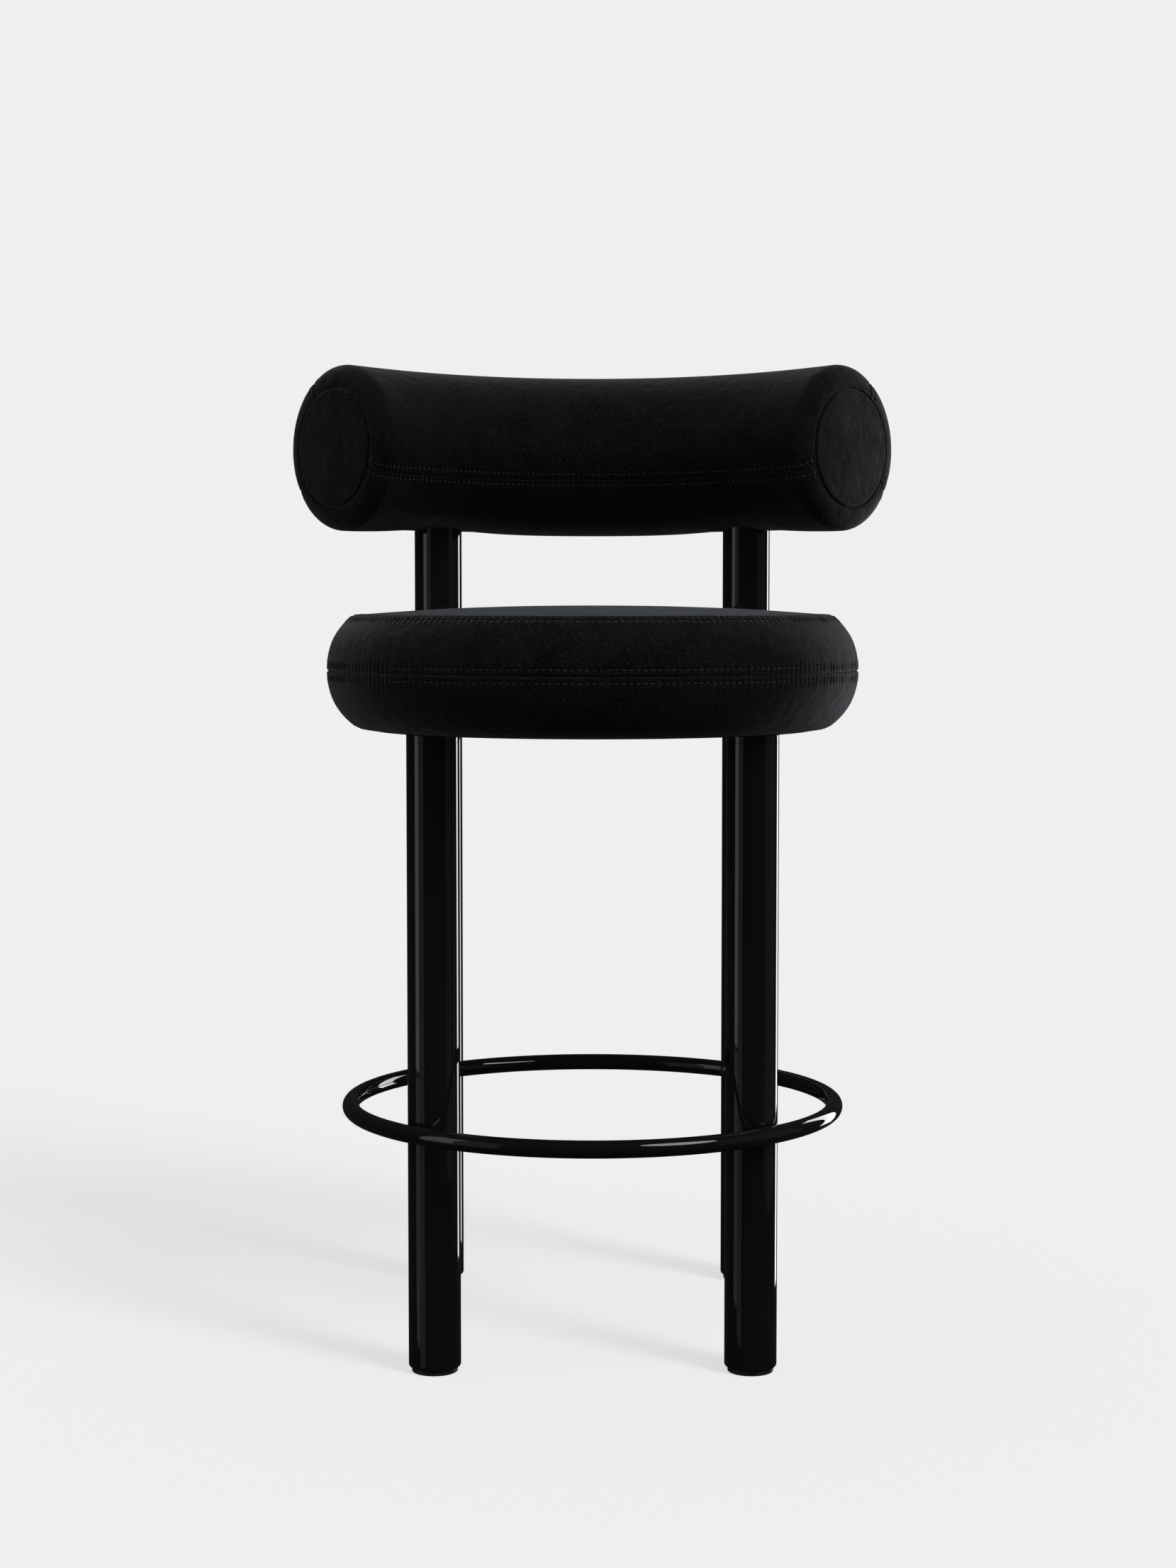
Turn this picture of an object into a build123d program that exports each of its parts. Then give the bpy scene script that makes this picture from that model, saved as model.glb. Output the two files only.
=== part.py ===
"""Counter-height stool on four fat tube legs, with a footrest ring, a round padded seat and a curved padded back.

Millimetres, +Z up. The sitter faces -Y. The origin is on the floor, under the middle of the stool's box.
Clock angles on the backrest's roll start at its outer side and turn upwards.
"""

import os
from math import asin, cos, degrees, hypot, radians, sin, sqrt

from build123d import *

os.makedirs("parts", exist_ok=True)

# ---- Driving dimensions ---------------------------------------------------------------------------------

leg_r = 22.5  # four tube legs, all of one tube
leg_wall = 2.0
front_leg_x = 135.5
rear_leg_x = 148.0

ring_r = 217.0  # footrest ring, to the middle of its round bar
bar_r = 7.5
ring_z = 209.5

seat_r = 235.5  # round seat, at its girth
seat_back_set = -14.0  # the seat's middle, in front of the ring's middle
seat_bottom = 547.0
girth_z = 599.0
top_seam_z = 648.6
seat_top = 655.0
upper_edge_r = 64.5  # how round the seat's edge is above and below the girth
lower_edge_r = 60.0

back_arc_r = 353.0  # the backrest's roll follows this arc, seen from above
back_half_angle = 41.0
back_r = 76.0  # the roll's radius in the middle, and how much fatter and higher its ends are
end_growth = 2.0
back_z = 798.5
end_lift = 4.5
rim_depth = 15.0  # the rounded rim of each end, along the roll and across it
rim_width = 22.5

cover_t = 1.5  # upholstery cloth with its backing
plate_t = 6.0  # flat steel bar

# ---- Footprint: the ring touches the front legs from outside and the rear legs from inside -----------------

front_reach = ring_r - bar_r - leg_r
rear_reach = ring_r + bar_r + leg_r
front_leg_set = -sqrt(front_reach**2 - front_leg_x**2)
rear_leg_set = sqrt(rear_reach**2 - rear_leg_x**2)
arc_set = rear_leg_set - sqrt(back_arc_r**2 - rear_leg_x**2)

front_edge = seat_back_set - seat_r
back_edge = arc_set + back_arc_r + back_r
ring_y = -(front_edge + back_edge) / 2
front_leg_y = ring_y + front_leg_set
rear_leg_y = ring_y + rear_leg_set
seat_y = ring_y + seat_back_set
arc_y = ring_y + arc_set

rail_z = seat_bottom - plate_t
cap_lip_z = 7.0
rear_tube_top = 761.0

legs = {
    "front_left_leg": (-front_leg_x, front_leg_y, rail_z),
    "front_right_leg": (front_leg_x, front_leg_y, rail_z),
    "rear_left_leg": (-rear_leg_x, rear_leg_y, rear_tube_top),
    "rear_right_leg": (rear_leg_x, rear_leg_y, rear_tube_top),
}


def save(builder, name):
    """Label a finished piece and write it as its own STEP file."""
    builder.part.label = name
    export_step(builder.part, f"parts/{name}.step")


def ring_plane(leg_x, leg_y, distance):
    """Plane square to the line from the ring's middle to a leg, this far out along it, facing outwards."""
    reach = hypot(leg_x, leg_y - ring_y)
    out = Vector(leg_x / reach, (leg_y - ring_y) / reach, 0)
    return Plane(origin=(out.X * distance, ring_y + out.Y * distance, ring_z), z_dir=out)


def drill(plane, radius, depth):
    """Cut a round hole into the part being built, from the plane along its normal."""
    with BuildSketch(plane) as hole:
        Circle(radius)
    extrude(hole.sketch, amount=depth, mode=Mode.SUBTRACT)


def button_screw(plane, thread_r, head_r, head_h, length):
    """Add a button-head screw: the head's seat is on the plane and the thread runs along its normal."""
    with BuildSketch(plane) as underside:
        Circle(head_r)
    with BuildSketch(plane.offset(-head_h)) as crown:
        Circle(head_r * 0.6)
    with BuildSketch(plane.offset(-head_h)) as socket:
        RegularPolygon(head_r * 0.38, 6)
    with BuildSketch(plane) as thread:
        Circle(thread_r)
    loft([underside.sketch, crown.sketch])
    extrude(socket.sketch, amount=head_h * 0.6, mode=Mode.SUBTRACT)
    extrude(thread.sketch, amount=length)


# ---- Screws that hold the footrest ring ------------------------------------------------------------------

ring_thread_r = 2.5
ring_clear_r = 2.7
rear_head_r = 4.0
rear_head_h = 2.4
rear_spot = 1.2  # flat spot on the round bar under each rear screw head
front_head_r = 4.6
front_head_h = 2.8
front_spot = 0.5  # flat spot on the leg under each front screw head
nut_r = 5.0
nut_h = 6.0

rear_seat_at = ring_r - bar_r + rear_spot
front_seat_at = front_reach - leg_r + front_spot
front_screw_end = ring_r + 3.0
nut_at = rear_reach - sqrt((leg_r - leg_wall) ** 2 - nut_r**2)
rear_screw_end = nut_at + nut_h + 1.0

# ---- Lock screws that hold the backrest's spigots in the rear legs ------------------------------------------

lock_z = 708.0
lock_thread_r = 3.0
lock_head_r = 5.2
lock_head_h = 3.2
lock_spot = 0.7
spigot_r = leg_r - leg_wall - 0.2
spigot_wall = 3.0
spigot_bottom = 685.0


def lock_plane(leg_x, leg_y, depth):
    """Plane on the back of a rear leg, this far inside its surface, facing the leg's middle."""
    return Plane(origin=(leg_x, leg_y + leg_r - depth, lock_z), z_dir=(0, -1, 0))


# ---- Legs: straight lacquered tubes, drilled for the ring and the backrest -----------------------------------

for name, (leg_x, leg_y, leg_top) in legs.items():
    with BuildPart() as leg:
        with BuildSketch(Plane.XY.offset(cap_lip_z)):
            with Locations((leg_x, leg_y)):
                Circle(leg_r)
                Circle(leg_r - leg_wall, mode=Mode.SUBTRACT)
        extrude(amount=leg_top - cap_lip_z)
        if leg_y < 0:
            drill(ring_plane(leg_x, leg_y, front_reach - leg_r - 1), front_head_r + 0.3, front_spot + 1)
            drill(ring_plane(leg_x, leg_y, front_reach - leg_r), ring_clear_r, 2 * leg_r)
        else:
            drill(ring_plane(leg_x, leg_y, rear_reach - leg_r), ring_clear_r, leg_r)
            drill(lock_plane(leg_x, leg_y, -1), lock_head_r + 0.3, lock_spot + 1)
            drill(lock_plane(leg_x, leg_y, 0), lock_thread_r + 0.2, leg_r)
    save(leg, name)

# ---- End caps: turned steel plugs with a rounded lip, pressed into each tube --------------------------------

floor_gap = 4.0
lip_round = cap_lip_z - floor_gap
plug_r = leg_r - leg_wall - 0.05
plug_top = 18.0
stud_r = 4.0

for name, (leg_x, leg_y, leg_top) in legs.items():
    with BuildPart() as end_cap:
        with BuildSketch(Plane(origin=(leg_x, leg_y, 0), x_dir=(1, 0, 0), z_dir=(0, -1, 0))):
            with BuildLine():
                Line((stud_r, floor_gap), (leg_r - lip_round, floor_gap))
                CenterArc((leg_r - lip_round, cap_lip_z), lip_round, 270, 90)
                Polyline((leg_r, cap_lip_z), (plug_r, cap_lip_z), (plug_r, plug_top), (stud_r, plug_top))
                Line((stud_r, plug_top), (stud_r, floor_gap))
            make_face()
        revolve(axis=Axis((leg_x, leg_y, 0), (0, 0, 1)))
    save(end_cap, name.replace("leg", "end_cap"))

# ---- Glides: moulded feet that stand on the floor, each on a threaded stud ----------------------------------

glide_r = 19.7
stud_foot = 1.4
stud_top = 17.0

for name, (leg_x, leg_y, leg_top) in legs.items():
    with BuildPart() as glide:
        with BuildSketch(Plane.XY):
            with Locations((leg_x, leg_y)):
                Circle(glide_r)
        extrude(amount=floor_gap)
        fillet(glide.faces().sort_by(Axis.Z)[0].edges(), 0.8)
        with BuildSketch(Plane.XY.offset(stud_foot)):
            with Locations((leg_x, leg_y)):
                Circle(stud_r)
        extrude(amount=floor_gap - stud_foot, mode=Mode.SUBTRACT)
    save(glide, name.replace("leg", "glide"))

with BuildPart() as glide_studs:
    with BuildSketch(Plane.XY.offset(stud_foot)):
        with Locations([(leg_x, leg_y) for leg_x, leg_y, leg_top in legs.values()]):
            Circle(stud_r)
    extrude(amount=stud_top - stud_foot)
save(glide_studs, "glide_studs")

# ---- Footrest ring: two half circles of round bar, butt welded in front and behind ----------------------------

for side, name in ((-1, "left_footrest_half"), (1, "right_footrest_half")):
    with BuildPart() as half_ring:
        with BuildSketch(Plane(origin=(0, ring_y, ring_z), x_dir=(0, -side, 0), z_dir=(-side, 0, 0))):
            with Locations(Location((ring_r, 0), 90)):
                Circle(bar_r)
        revolve(axis=Axis((0, ring_y, 0), (0, 0, 1)), revolution_arc=180)
        front_plane = ring_plane(side * front_leg_x, front_leg_y, front_reach + leg_r - 1)
        drill(front_plane, ring_thread_r, front_screw_end - ring_r + bar_r + 1)
        rear_plane = ring_plane(side * rear_leg_x, rear_leg_y, rear_seat_at - rear_spot - 1)
        drill(rear_plane, rear_head_r + 0.2, rear_spot + 1)
        drill(rear_plane.offset(rear_spot + 1), ring_clear_r, 2 * bar_r)
    save(half_ring, name)

with BuildPart() as footrest_rear_screws:
    for leg_x in (-rear_leg_x, rear_leg_x):
        seat_plane = ring_plane(leg_x, rear_leg_y, rear_seat_at)
        button_screw(seat_plane, ring_thread_r, rear_head_r, rear_head_h, rear_screw_end - rear_seat_at)
save(footrest_rear_screws, "footrest_rear_screws")

with BuildPart() as footrest_front_screws:
    for leg_x in (-front_leg_x, front_leg_x):
        seat_plane = ring_plane(leg_x, front_leg_y, front_seat_at)
        button_screw(seat_plane, ring_thread_r, front_head_r, front_head_h, front_screw_end - front_seat_at)
save(footrest_front_screws, "footrest_front_screws")

with BuildPart() as footrest_nuts:
    for leg_x in (-rear_leg_x, rear_leg_x):
        with BuildSketch(ring_plane(leg_x, rear_leg_y, nut_at)):
            Circle(nut_r)
            Circle(ring_thread_r, mode=Mode.SUBTRACT)
        extrude(amount=nut_h)
save(footrest_nuts, "footrest_nuts")

# ---- Rails under the seat: flat bars welded on the front legs and against the rear legs ---------------------

rail_length = hypot(rear_leg_x - front_leg_x, rear_leg_y - front_leg_y)
rail_lean = degrees(asin((rear_leg_x - front_leg_x) / rail_length))
rail_middle = ((front_leg_x + rear_leg_x) / 2, (front_leg_y + rear_leg_y) / 2)
cross_rail_width = 40.0
rail_hole_r = 3.3
screw_places = [0.12, 0.68]  # along each rail, from the front leg to the rear leg
seat_holes = [
    (side * (front_leg_x + along * (rear_leg_x - front_leg_x)), front_leg_y + along * (rear_leg_y - front_leg_y))
    for side in (-1, 1)
    for along in screw_places
]


def rail_outline(side, mode=Mode.ADD):
    """Sketch one rail from above: as wide as a leg, with a round end over each leg's axis."""
    with Locations(Location((side * rail_middle[0], rail_middle[1]), 90 - side * rail_lean)):
        SlotCenterToCenter(rail_length, 2 * leg_r, mode=mode)


for side, name in ((-1, "left_seat_rail"), (1, "right_seat_rail")):
    with BuildPart() as rail:
        with BuildSketch(Plane.XY.offset(rail_z)):
            rail_outline(side)
            with Locations((side * rear_leg_x, rear_leg_y)):
                Circle(leg_r, mode=Mode.SUBTRACT)
            with Locations([hole for hole in seat_holes if hole[0] * side > 0]):
                Circle(rail_hole_r, mode=Mode.SUBTRACT)
        extrude(amount=plate_t)
    save(rail, name)

with BuildPart() as cross_rail:
    with BuildSketch(Plane.XY.offset(rail_z)):
        with Locations((0, seat_y)):
            Rectangle(2 * rail_middle[0], cross_rail_width)
        rail_outline(-1, Mode.SUBTRACT)
        rail_outline(1, Mode.SUBTRACT)
    extrude(amount=plate_t)
save(cross_rail, "seat_cross_rail")

# ---- Seat board: plywood disc with tee nuts let into its top ---------------------------------------------------

dust_t = 0.8
board_r = 200.0
board_z = seat_bottom + dust_t + cover_t
board_t = 15.0
board_top = board_z + board_t
tee_r = 4.0
tee_flange_r = 9.5
tee_flange_t = 1.5
tee_bottom = board_z + 3.0
seat_thread_r = 3.0

with BuildPart() as seat_board:
    with BuildSketch(Plane.XY.offset(board_z)):
        with Locations((0, seat_y)):
            Circle(board_r)
        with Locations(seat_holes):
            Circle(tee_r, mode=Mode.SUBTRACT)
    extrude(amount=board_t)
    with BuildSketch(Plane.XY.offset(board_top - tee_flange_t)):
        with Locations(seat_holes):
            Circle(tee_flange_r)
    extrude(amount=tee_flange_t, mode=Mode.SUBTRACT)
save(seat_board, "seat_board")

with BuildPart() as seat_tee_nuts:
    with BuildSketch(Plane.XY.offset(board_top - tee_flange_t)):
        with Locations(seat_holes):
            Circle(tee_flange_r)
            Circle(seat_thread_r, mode=Mode.SUBTRACT)
    extrude(amount=tee_flange_t)
    with BuildSketch(Plane.XY.offset(tee_bottom)):
        with Locations(seat_holes):
            Circle(tee_r)
            Circle(seat_thread_r, mode=Mode.SUBTRACT)
    extrude(amount=board_top - tee_flange_t - tee_bottom)
save(seat_tee_nuts, "seat_tee_nuts")

with BuildPart() as seat_screws:
    for hole_x, hole_y in seat_holes:
        button_screw(Plane(origin=(hole_x, hole_y, rail_z), z_dir=(0, 0, 1)), seat_thread_r, 5.5, 3.0, 20.0)
save(seat_screws, "seat_screws")

# ---- Seat upholstery: moulded foam in three sewn panels, closed below by a dust cover ------------------------

flange_r = 185.0  # the lower band is stapled under the board as far in as this
band_z = seat_bottom + dust_t


def seat_outline(inset):
    """Half section of the seat, this far inside its surface: crown, top seam, upper edge, girth, lower edge, foot.

    The edge is an arc above the girth and an arc below it, both upright at the girth.
    """
    upper_centre = seat_r - upper_edge_r
    lower_centre = seat_r - lower_edge_r
    seam_turn = asin((top_seam_z - girth_z) / upper_edge_r)
    seam_r = upper_centre + upper_edge_r * cos(seam_turn)
    slope = 2 * (seat_top - top_seam_z) / seam_r
    lean = hypot(slope, 1)
    edge_out = (cos(seam_turn), sin(seam_turn))
    crown_out = (slope / lean, 1 / lean)
    mitre = inset / (1 + edge_out[0] * crown_out[0] + edge_out[1] * crown_out[1])
    foot_z = band_z + inset
    foot_turn = asin((girth_z - foot_z) / (lower_edge_r - inset))
    crown_middle_drop = (seat_top - top_seam_z) / 4
    return {
        "apex": (0, seat_top - inset),
        "crown": (seam_r / 2, seat_top - crown_middle_drop - inset),
        "seam": (seam_r - mitre * (edge_out[0] + crown_out[0]), top_seam_z - mitre * (edge_out[1] + crown_out[1])),
        "upper": (
            upper_centre + (upper_edge_r - inset) * cos(seam_turn / 2),
            girth_z + (upper_edge_r - inset) * sin(seam_turn / 2),
        ),
        "girth": (seat_r - inset, girth_z),
        "lower": (
            lower_centre + (lower_edge_r - inset) * cos(foot_turn / 2),
            girth_z - (lower_edge_r - inset) * sin(foot_turn / 2),
        ),
        "foot": (lower_centre + (lower_edge_r - inset) * cos(foot_turn), foot_z),
    }


outside = seat_outline(0)
inside = seat_outline(cover_t)
seat_axis = Axis((0, seat_y, 0), (0, 0, 1))
seat_plane = Plane(origin=(0, seat_y, 0), x_dir=(1, 0, 0), z_dir=(0, -1, 0))


with BuildPart() as seat_foam:
    with BuildSketch(seat_plane):
        with BuildLine():
            Spline(inside["apex"], inside["crown"], inside["seam"])
            ThreePointArc(inside["seam"], inside["upper"], inside["girth"])
            ThreePointArc(inside["girth"], inside["lower"], inside["foot"])
            Polyline(inside["foot"], (board_r, board_z), (board_r, board_top), (0, board_top), inside["apex"])
        make_face()
    revolve(axis=seat_axis)
save(seat_foam, "seat_foam")

with BuildPart() as seat_top_panel:
    with BuildSketch(seat_plane):
        with BuildLine():
            Spline(outside["apex"], outside["crown"], outside["seam"])
            Line(outside["seam"], inside["seam"])
            Spline(inside["seam"], inside["crown"], inside["apex"])
            Line(inside["apex"], outside["apex"])
        make_face()
    revolve(axis=seat_axis)
save(seat_top_panel, "seat_top_panel")

with BuildPart() as seat_upper_band:
    with BuildSketch(seat_plane):
        with BuildLine():
            ThreePointArc(outside["seam"], outside["upper"], outside["girth"])
            Line(outside["girth"], inside["girth"])
            ThreePointArc(inside["girth"], inside["upper"], inside["seam"])
            Line(inside["seam"], outside["seam"])
        make_face()
    revolve(axis=seat_axis)
save(seat_upper_band, "seat_upper_band")

with BuildPart() as seat_lower_band:
    with BuildSketch(seat_plane):
        with BuildLine():
            ThreePointArc(outside["girth"], outside["lower"], outside["foot"])
            Polyline(outside["foot"], (flange_r, band_z), (flange_r, board_z), inside["foot"])
            ThreePointArc(inside["foot"], inside["lower"], inside["girth"])
            Line(inside["girth"], outside["girth"])
        make_face()
    revolve(axis=seat_axis)
    for hole in seat_holes:
        drill(Plane(origin=(*hole, band_z), z_dir=(0, 0, 1)), rail_hole_r, cover_t)
save(seat_lower_band, "seat_lower_band")

with BuildPart() as seat_dust_cover:
    with BuildSketch(Plane.XY.offset(seat_bottom)):
        with Locations((0, seat_y)):
            Circle(board_r - 4)
        with Locations(seat_holes):
            Circle(rail_hole_r, mode=Mode.SUBTRACT)
    extrude(amount=dust_t)
save(seat_dust_cover, "seat_dust_cover")

# ---- Backrest frame: a steel tube bent on the arc, welded on two spigots --------------------------------------

core_r = 15.0
core_wall = 2.5
core_half_angle = 34.0
core_z = back_z
arc_axis = Axis((0, arc_y, 0), (0, 0, 1))


def roll_plane(angle):
    """Plane square to the roll's centreline: x points out from the arc, y up. The ends sit a little higher."""
    turn = radians(angle)
    share = (angle / back_half_angle) ** 2
    middle = (back_arc_r * sin(turn), arc_y + back_arc_r * cos(turn), back_z + end_lift * share)
    return Plane(origin=middle, x_dir=(sin(turn), cos(turn), 0), z_dir=(cos(turn), -sin(turn), 0))


def roll_radius(angle):
    """The roll's radius, which grows towards its ends."""
    return back_r + end_growth * (angle / back_half_angle) ** 2


def core_plane():
    """Upright plane at the core's left end, for a section that is then swung round the arc."""
    turn = radians(-core_half_angle)
    middle = (back_arc_r * sin(turn), arc_y + back_arc_r * cos(turn), core_z)
    return Plane(origin=middle, x_dir=(sin(turn), cos(turn), 0), z_dir=(cos(turn), -sin(turn), 0))


with BuildPart() as backrest_core:
    with BuildSketch(core_plane()):
        Circle(core_r)
        Circle(core_r - core_wall, mode=Mode.SUBTRACT)
    revolve(axis=arc_axis, revolution_arc=-2 * core_half_angle)
save(backrest_core, "backrest_core")

for name, leg_x in (("left_backrest_spigot", -rear_leg_x), ("right_backrest_spigot", rear_leg_x)):
    with BuildPart() as spigot:
        with BuildSketch(Plane.XY.offset(spigot_bottom)):
            with Locations((leg_x, rear_leg_y)):
                Circle(spigot_r)
                Circle(spigot_r - spigot_wall, mode=Mode.SUBTRACT)
        extrude(amount=core_z - spigot_bottom)
        with BuildSketch(core_plane()):
            Circle(core_r)
        revolve(axis=arc_axis, revolution_arc=-2 * core_half_angle, mode=Mode.SUBTRACT)
        drill(lock_plane(leg_x, rear_leg_y, 0), lock_thread_r, leg_r)
    save(spigot, name)

with BuildPart() as backrest_lock_screws:
    for leg_x in (-rear_leg_x, rear_leg_x):
        seat = lock_plane(leg_x, rear_leg_y, lock_spot)
        button_screw(seat, lock_thread_r, lock_head_r, lock_head_h, 12.0)
save(backrest_lock_screws, "backrest_lock_screws")

# ---- Backrest upholstery: moulded foam in three long sewn panels, with a round panel on each end ----------------

section_count = 7
section_angles = [back_half_angle * (2 * i / (section_count - 1) - 1) for i in range(section_count)]
seam_angles = {
    "backrest_rear_panel": (-32.0, 58.0),
    "backrest_front_panel": (58.0, 199.0),
    "backrest_under_panel": (199.0, 328.0),
}
end_r = back_r + end_growth
disc_r = end_r - rim_width


def rim(end_side, start_angle):
    """Plane through an end of the roll: x runs out from its centreline at the clock angle, y along its end."""
    base = roll_plane(end_side * back_half_angle)
    turn = radians(start_angle)
    across = base.x_dir * cos(turn) + base.y_dir * sin(turn)
    along = base.z_dir * end_side
    return Plane(origin=base.origin, x_dir=across, z_dir=across.cross(along))


def rim_arc(inset):
    """Quarter ellipse from the roll's side to its flat end, this far inside its surface."""
    return EllipticalCenterArc((disc_r, 0), rim_width - inset, rim_depth - inset, start_angle=0, arc_size=90)


with BuildPart() as backrest_foam:
    for angle in section_angles:
        with BuildSketch(roll_plane(angle)):
            Circle(roll_radius(angle) - cover_t)
    loft()
    for end_side in (-1, 1):
        with BuildSketch(rim(end_side, 0)):
            with BuildLine():
                rim_arc(cover_t)
                Polyline((disc_r, rim_depth - cover_t), (0, rim_depth - cover_t), (0, 0), (end_r - cover_t, 0))
            make_face()
        end_plane = roll_plane(end_side * back_half_angle)
        revolve(axis=Axis(end_plane.origin, end_plane.z_dir))
    with BuildSketch(core_plane()):
        Circle(core_r)
    revolve(axis=arc_axis, revolution_arc=-2 * core_half_angle, mode=Mode.SUBTRACT)
    with BuildSketch(Plane.XY.offset(rear_tube_top)):
        with Locations((-rear_leg_x, rear_leg_y), (rear_leg_x, rear_leg_y)):
            Circle(spigot_r)
    extrude(amount=core_z - rear_tube_top, mode=Mode.SUBTRACT)
    with BuildSketch(Plane.XY.offset(back_z - back_r - 1)):
        with Locations((-rear_leg_x, rear_leg_y), (rear_leg_x, rear_leg_y)):
            Circle(leg_r)
    extrude(amount=rear_tube_top - back_z + back_r + 1, mode=Mode.SUBTRACT)
save(backrest_foam, "backrest_foam")

for name, (seam_start, seam_end) in seam_angles.items():
    with BuildPart() as cover:
        for angle in section_angles:
            outer = roll_radius(angle)
            with BuildSketch(roll_plane(angle)):
                with BuildLine():
                    first = CenterArc((0, 0), outer, seam_start, seam_end - seam_start)
                    second = CenterArc((0, 0), outer - cover_t, seam_start, seam_end - seam_start)
                    Line(first @ 0, second @ 0)
                    Line(first @ 1, second @ 1)
                make_face()
        loft()
        for end_side in (-1, 1):
            with BuildSketch(rim(end_side, seam_start)):
                with BuildLine():
                    rim_arc(0)
                    rim_arc(cover_t)
                    Line((end_r, 0), (end_r - cover_t, 0))
                    Line((disc_r, rim_depth), (disc_r, rim_depth - cover_t))
                make_face()
            end_plane = roll_plane(end_side * back_half_angle)
            revolve(axis=Axis(end_plane.origin, end_plane.z_dir), revolution_arc=seam_end - seam_start)
        if name == "backrest_under_panel":
            with BuildSketch(Plane.XY.offset(back_z - back_r - 1)):
                with Locations((-rear_leg_x, rear_leg_y), (rear_leg_x, rear_leg_y)):
                    Circle(leg_r)
            extrude(amount=end_lift + back_r / 2, mode=Mode.SUBTRACT)
    save(cover, name)

for end_side, name in ((-1, "backrest_left_end_panel"), (1, "backrest_right_end_panel")):
    with BuildPart() as end_panel:
        end_plane = roll_plane(end_side * back_half_angle)
        with BuildSketch(end_plane.offset(end_side * (rim_depth - cover_t))):
            Circle(disc_r)
        extrude(amount=end_side * cover_t)
    save(end_panel, name)
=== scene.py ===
import bmesh
import bpy
import numpy as np
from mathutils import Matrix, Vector


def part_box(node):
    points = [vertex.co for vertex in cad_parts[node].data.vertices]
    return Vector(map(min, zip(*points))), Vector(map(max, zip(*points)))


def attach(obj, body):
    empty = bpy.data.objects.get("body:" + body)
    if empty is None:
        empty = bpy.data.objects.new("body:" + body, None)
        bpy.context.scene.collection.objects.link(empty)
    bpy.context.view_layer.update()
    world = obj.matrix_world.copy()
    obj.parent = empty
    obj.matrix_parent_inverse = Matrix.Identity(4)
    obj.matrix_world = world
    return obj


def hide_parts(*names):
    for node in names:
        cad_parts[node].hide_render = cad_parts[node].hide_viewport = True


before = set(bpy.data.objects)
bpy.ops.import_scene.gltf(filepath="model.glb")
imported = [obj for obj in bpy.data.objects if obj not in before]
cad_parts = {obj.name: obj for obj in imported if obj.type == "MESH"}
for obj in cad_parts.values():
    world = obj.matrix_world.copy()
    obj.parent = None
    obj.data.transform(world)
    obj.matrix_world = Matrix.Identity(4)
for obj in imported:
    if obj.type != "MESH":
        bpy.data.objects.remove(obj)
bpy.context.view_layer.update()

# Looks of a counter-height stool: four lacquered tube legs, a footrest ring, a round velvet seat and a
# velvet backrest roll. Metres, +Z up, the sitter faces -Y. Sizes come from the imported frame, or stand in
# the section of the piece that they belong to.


# ---- Legs ------------------------------------------------------------------------------------------------
# Four straight steel tubes of one size. A steel plug with a rounded lip closes each foot and is ground flush
# before the frame is lacquered, so leg and lip read as one glossy piece.

def mesh_piece(name, points, faces, sharp=None, merge=False):
    """Smooth-shaded object from a list of points and faces; bmesh works out which way the faces point.

    `merge` joins points less than a micrometre apart. Faces that meet at more than `sharp` degrees keep a
    crisp edge.
    """
    mesh = bpy.data.meshes.new(name)
    mesh.from_pydata(points, [], faces)
    work = bmesh.new()
    work.from_mesh(mesh)
    if merge:
        bmesh.ops.remove_doubles(work, verts=work.verts, dist=1e-6)
    bmesh.ops.recalc_face_normals(work, faces=work.faces)
    work.to_mesh(mesh)
    work.free()
    mesh.polygons.foreach_set("use_smooth", np.ones(len(mesh.polygons), dtype=bool))
    if sharp is not None:
        mesh.set_sharp_from_angle(angle=np.radians(sharp))
    piece = bpy.data.objects.new(name, mesh)
    bpy.context.scene.collection.objects.link(piece)
    return piece


def grid_quads(index):
    """Four corners of every cell in a grid of point numbers."""
    corners = [index[:-1, :-1], index[1:, :-1], index[1:, 1:], index[:-1, 1:]]
    return np.stack(corners, axis=-1).reshape(-1, 4)


def surface(name, points, around=False, along=False, sharp=35.0):
    """Mesh over a grid of points: quads join each point to the next one in both directions.

    `around` joins the last row to the first, `along` the last column to the first. Points that coincide
    merge, so a column of equal points closes to a pole.
    """
    rows, columns = points.shape[:2]
    index = np.arange(rows * columns).reshape(rows, columns)
    if around:
        index = np.vstack([index, index[:1]])
    if along:
        index = np.hstack([index, index[:, :1]])
    return mesh_piece(name, points.reshape(-1, 3).tolist(), grid_quads(index).tolist(), sharp, merge=True)


def turned(name, profile, centre, turns=128, sharp=35.0):
    """Turned piece: each (radius, height) of the profile swept round the upright axis through centre.

    point(i, j) = (cx + r_j cos a_i, cy + r_j sin a_i, z_j), with a_i = 2 pi i / turns.
    """
    turn = np.arange(turns) * 2 * np.pi / turns
    radius, height = np.array(profile).T
    points = np.empty((turns, len(radius), 3))
    points[..., 0] = centre[0] + np.cos(turn)[:, None] * radius
    points[..., 1] = centre[1] + np.sin(turn)[:, None] * radius
    points[..., 2] = height
    return surface(name, points, around=True, sharp=sharp)


def noise_value(nodes, links, scale, detail, low, high, coordinates):
    """Noise on Object coordinates, spread between two values by a Map Range node."""
    noise = nodes.new("ShaderNodeTexNoise")
    noise.inputs["Scale"].default_value = scale
    noise.inputs["Detail"].default_value = detail
    links.new(coordinates.outputs["Object"], noise.inputs["Vector"])
    spread = nodes.new("ShaderNodeMapRange")
    spread.inputs["From Min"].default_value = 0.3
    spread.inputs["From Max"].default_value = 0.7
    spread.inputs["To Min"].default_value = low
    spread.inputs["To Max"].default_value = high
    links.new(noise.outputs["Fac"], spread.inputs["Value"])
    return spread.outputs["Result"]


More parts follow.
